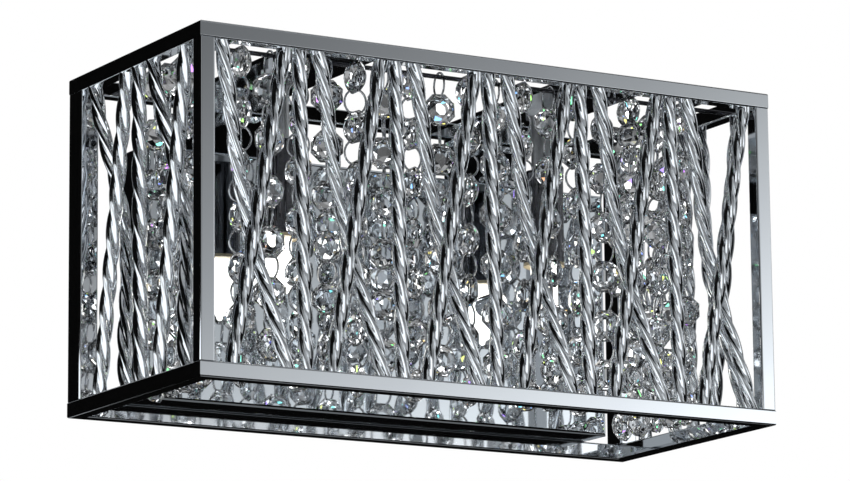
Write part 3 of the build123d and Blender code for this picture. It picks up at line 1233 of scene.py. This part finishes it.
@dataclass
class Studio:
    """A pale floor, soft lamps, and a black tent with cards in it that the chrome and the crystals mirror.

    Attributes:
        floor_level: the floor's height.
        floor_size: the floor's length and width.
        floor_tints: the two greys of the floor.
        floor_patches: how many patches of grey there are to a metre of floor.
        tent_radius: the tents' radius.
        tent_height: the tents' height.
        tent_gap: room between the floor and the tents.
        tent_sides: how many sides a tent has.
        cloth_tints: the two blacks of the black cloth.
        cloth_weave: how many cells its weave has to a metre.
        fill: how bright the surroundings are for soft light.
        patches_per_metre: how many patches the speckled cloth has to a metre.
        patch_glow: the least and the most glow of its grey patches.
        glint_share: how many of its patches are glints.
        glint_glow: how much brighter a glint is.
        coloured_share: how many of the glints are coloured.
        glint_saturation: how strong their colour is.
        glint_hues: the ends of their range of hues.
        flag_size: the flag's width and height.
        flag_middle: the flag's middle.
    """

    floor_level: float = -0.9
    floor_size: float = 12.0
    floor_tints: tuple[Colour, Colour] = ((0.86, 0.86, 0.86), (0.90, 0.90, 0.90))
    floor_patches: float = 0.8
    tent_radius: float = 1.7
    tent_height: float = 1.75
    tent_gap: float = mm(20.0)
    tent_sides: int = 48
    cloth_tints: tuple[Colour, Colour] = ((0.001, 0.001, 0.001), (0.006, 0.006, 0.006))
    cloth_weave: float = 400.0
    fill: float = 0.6
    patches_per_metre: float = 13.0
    patch_glow: Span = (0.03, 0.5)
    glint_share: float = 0.13
    glint_glow: float = 2.4
    coloured_share: float = 0.25
    glint_saturation: float = 0.75
    glint_hues: Span = (0.04, 0.76)
    flag_size: Span = (mm(420.0), mm(70.0))
    flag_middle: tuple[float, float, float] = (mm(40.0), mm(-116.0), mm(124.0))

    def world(self) -> None:
        """White surroundings to the eye, in metal and through glass, and softer ones for all other light."""
        world = bpy.data.worlds.new("studio_world")
        world.use_nodes = True
        bpy.context.scene.world = world
        tree = world.node_tree
        white = tree.nodes["Background"]
        soft = tree.nodes.new("ShaderNodeBackground")
        for background, strength in ((white, 1.0), (soft, self.fill)):
            background.inputs["Color"].default_value = WHITE
            background.inputs["Strength"].default_value = strength
        path = tree.nodes.new("ShaderNodeLightPath")
        seen = path.outputs["Is Camera Ray"]
        for ray in ("Is Glossy Ray", "Is Transmission Ray"):
            either = tree.nodes.new("ShaderNodeMath")
            either.operation = "MAXIMUM"
            tree.links.new(seen, either.inputs[0])
            tree.links.new(path.outputs[ray], either.inputs[1])
            seen = either.outputs["Value"]
        mixed = tree.nodes.new("ShaderNodeMixShader")
        tree.links.new(seen, mixed.inputs["Fac"])
        tree.links.new(soft.outputs["Background"], mixed.inputs[1])
        tree.links.new(white.outputs["Background"], mixed.inputs[2])
        tree.links.new(mixed.outputs["Shader"], tree.nodes["World Output"].inputs["Surface"])

    def floor(self) -> None:
        """A plain pale floor well below the light."""
        shader = Shader("floor_paint")
        shader.set(Roughness=0.9)
        shader.feed(Base_Color=shader.blend(shader.noise(self.floor_patches), *self.floor_tints))
        shape = bmesh.new()
        place = Matrix.Translation((0, 0, self.floor_level))
        bmesh.ops.create_grid(shape, x_segments=1, y_segments=1, size=self.floor_size / 2, matrix=place)
        new_piece("floor", shape, shader.material)

    def tent(self, name: str, cloth: bpy.types.Material) -> bpy.types.Object:
        """Builds a round tent over the light.

        Args:
            name: the tent's name.
            cloth: what it is made of.

        Returns:
            The tent.
        """
        shape = bmesh.new()
        place = Matrix.Translation((0, 0, self.floor_level + self.tent_gap + self.tent_height / 2))
        bmesh.ops.create_cone(
            shape, cap_ends=True, segments=self.tent_sides, matrix=place,
            radius1=self.tent_radius, radius2=self.tent_radius, depth=self.tent_height,
        )
        return new_piece(name, shape, cloth)

    def black_cloth(self) -> bpy.types.Material:
        """Makes the cloth of what metal mirrors as black.

        Returns:
            The cloth's material.
        """
        shader = Shader("black_cloth")
        shader.set(Roughness=1.0, Specular_IOR_Level=0.0)
        shader.feed(Base_Color=shader.blend(shader.noise(self.cloth_weave), *self.cloth_tints))
        return shader.material

    def speckled_cloth(self) -> bpy.types.Material:
        """Makes the cloth that glass bends into view: grey patches, white glints and coloured ones.

        Returns:
            The cloth's material.
        """
        shader = Shader("speckled_cloth")
        shader.set(Base_Color=BLACK, Specular_IOR_Level=0.0)
        cells = shader.add("ShaderNodeTexVoronoi", Scale=self.patches_per_metre)
        shader.join(shader.place, cells.inputs["Vector"])
        chances = shader.add("ShaderNodeSeparateColor")
        shader.join(cells.outputs["Color"], chances.inputs["Color"])
        shade = chances.outputs["Green"]
        glint = shader.calculate("GREATER_THAN", chances.outputs["Red"], 1 - self.glint_share)
        coloured = shader.calculate("GREATER_THAN", chances.outputs["Blue"], 1 - self.coloured_share)
        tinted = shader.calculate("MULTIPLY", glint, coloured)
        hue = shader.add("ShaderNodeCombineColor", Blue=1.0)
        hue.mode = "HSV"
        shader.join(shader.ramp(shade, (0.0, 1.0), self.glint_hues), hue.inputs["Red"])
        shader.join(shader.calculate("MULTIPLY", tinted, self.glint_saturation), hue.inputs["Green"])
        patch = shader.ramp(shade, (0.0, 1.0), self.patch_glow)
        shader.feed(
            Emission_Color=hue.outputs["Color"],
            Emission_Strength=shader.calculate("MULTIPLY_ADD", glint, self.glint_glow, patch),
        )
        return shader.material

    def flag(self) -> bpy.types.Object:
        """Builds a small black flag over the front rail, which darkens what the back rail mirrors.

        Returns:
            The flag.
        """
        width, height = self.flag_size
        shape = bmesh.new()
        stretch = Matrix.Diagonal((width, height, 1, 1))
        bmesh.ops.create_grid(shape, x_segments=1, y_segments=1, size=0.5, matrix=stretch)
        place = Matrix.Translation(self.flag_middle) @ Matrix.Rotation(math.pi / 2, 4, "X")
        bmesh.ops.transform(shape, matrix=place, verts=shape.verts)
        return new_piece("flag", shape, self.black_cloth())

    def hang(self, cloth: bpy.types.Object, in_metal: bool, through_glass: bool) -> None:
        """Hides a cloth from the eye and from soft light.

        Args:
            cloth: the cloth's object.
            in_metal: whether metal mirrors it.
            through_glass: whether the crystals bend it into view.
        """
        cloth.visible_camera = False
        cloth.visible_diffuse = False
        cloth.visible_shadow = False
        cloth.visible_glossy = in_metal
        cloth.visible_transmission = through_glass

    def build(self) -> None:
        """Sets the studio up."""
        self.world()
        self.floor()
        self.hang(self.tent("black_tent", self.black_cloth()), in_metal=True, through_glass=False)
        self.hang(self.flag(), in_metal=True, through_glass=False)
        self.hang(self.tent("speckled_tent", self.speckled_cloth()), in_metal=False, through_glass=True)
        for card in CARDS + ROUND_CARDS:
            self.hang(card.build(), in_metal=True, through_glass=card.through_glass)
        for lamp in STUDIO_LAMPS:
            lamp.build()


@dataclass
class PhotoCamera:
    """A long lens from the front left, a little below the light.

    Attributes:
        place: where the camera stands.
        right: the way to the picture's right.
        up: the way to the picture's top.
        focal_px: the focal length, in the picture's pixels.
        sensor: the sensor's width, in millimetres.
    """

    place: Vector
    right: Vector
    up: Vector
    focal_px: float = 4393.1
    sensor: float = 36.0

    def build(self) -> None:
        """Adds the camera to the scene."""
        data = bpy.data.cameras.new("photo_camera")
        data.sensor_width = self.sensor
        data.lens = self.focal_px * self.sensor / PHOTO_WIDTH_PX
        camera = bpy.data.objects.new("photo_camera", data)
        back = self.right.cross(self.up).normalized()
        up = back.cross(self.right).normalized()
        turn = Matrix((self.right.normalized(), up, back)).transposed()
        camera.matrix_world = Matrix.Translation(self.place) @ turn.to_4x4()
        bpy.context.scene.collection.objects.link(camera)
        bpy.context.scene.camera = camera


def rod_rows() -> list[RodRow]:
    """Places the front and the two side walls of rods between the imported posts.

    Returns:
        The front row, then the side rows.
    """
    corner = {side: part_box(f"front_{side.word}_post") for side in Side}
    left_low, left_high = corner[Side.LEFT]
    right_low = corner[Side.RIGHT][0]
    front_y = (left_low.y + left_high.y) / 2
    rows = [RodRow(
        nodes={lean: f"front_rods_{lean.word}" for lean in Lean},
        start=Vector((left_high.x, front_y, 0)),
        end=Vector((right_low.x, front_y, 0)),
        inward=Vector((0, 1, 0)),
        groups=6,
        end_gap=mm(4.0),
    )]
    back_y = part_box("top_back_rail")[0].y
    for side in Side:
        low, high = corner[side]
        x = (low.x + high.x) / 2
        rows.append(RodRow(
            nodes={lean: f"{side.word}_side_rods" for lean in Lean},
            start=Vector((x, back_y, 0)),
            end=Vector((x, high.y, 0)),
            inward=Vector((-side.value, 0, 0)),
            groups=2,
            end_gap=mm(12.0),
        ))
    return rows


def strands() -> list[CrystalStrand]:
    """Finds a strand for every body that swings. Along the front, every other one hangs by a ring.

    Returns:
        The strands.
    """
    found = []
    for joint in frame["joints"]:
        if joint["type"] == "hinge":
            body = joint["child"]
            number = int(body.rpartition("_")[2])
            by_ring = body.startswith("front") and number % 2 == 0
            top = StrandPiece.RING if by_ring else StrandPiece.CRYSTAL
            found.append(CrystalStrand(body, Vector(joint["pos_m"]), Vector(joint["axis"]), top))
    return found


def main() -> None:
    """Builds and dresses the light, then its studio and camera."""
    logging.basicConfig(level=logging.INFO, format="%(message)s")
    BoxFrame().dress()
    aluminium = ROD_ALUMINIUM.make()
    for seed, row in enumerate(rod_rows()):
        row.build(aluminium, seed)
    kit = StrandKit(CrystalStrand)
    draw = random.Random(STRAND_SEED)
    for strand in strands():
        strand.build(kit, draw)
    LampPair().dress()
    WallFixing().dress()
    Studio().build()
    PhotoCamera(
        place=Vector((mm(-963.2), mm(-1692.9), mm(-361.3))),
        right=Vector((0.8618, -0.5072, -0.0094)),
        up=Vector((-0.0916, -0.1738, 0.9805)),
    ).build()
    bpy.context.scene.view_settings.view_transform = "Standard"


if __name__ == "__main__":
    main()
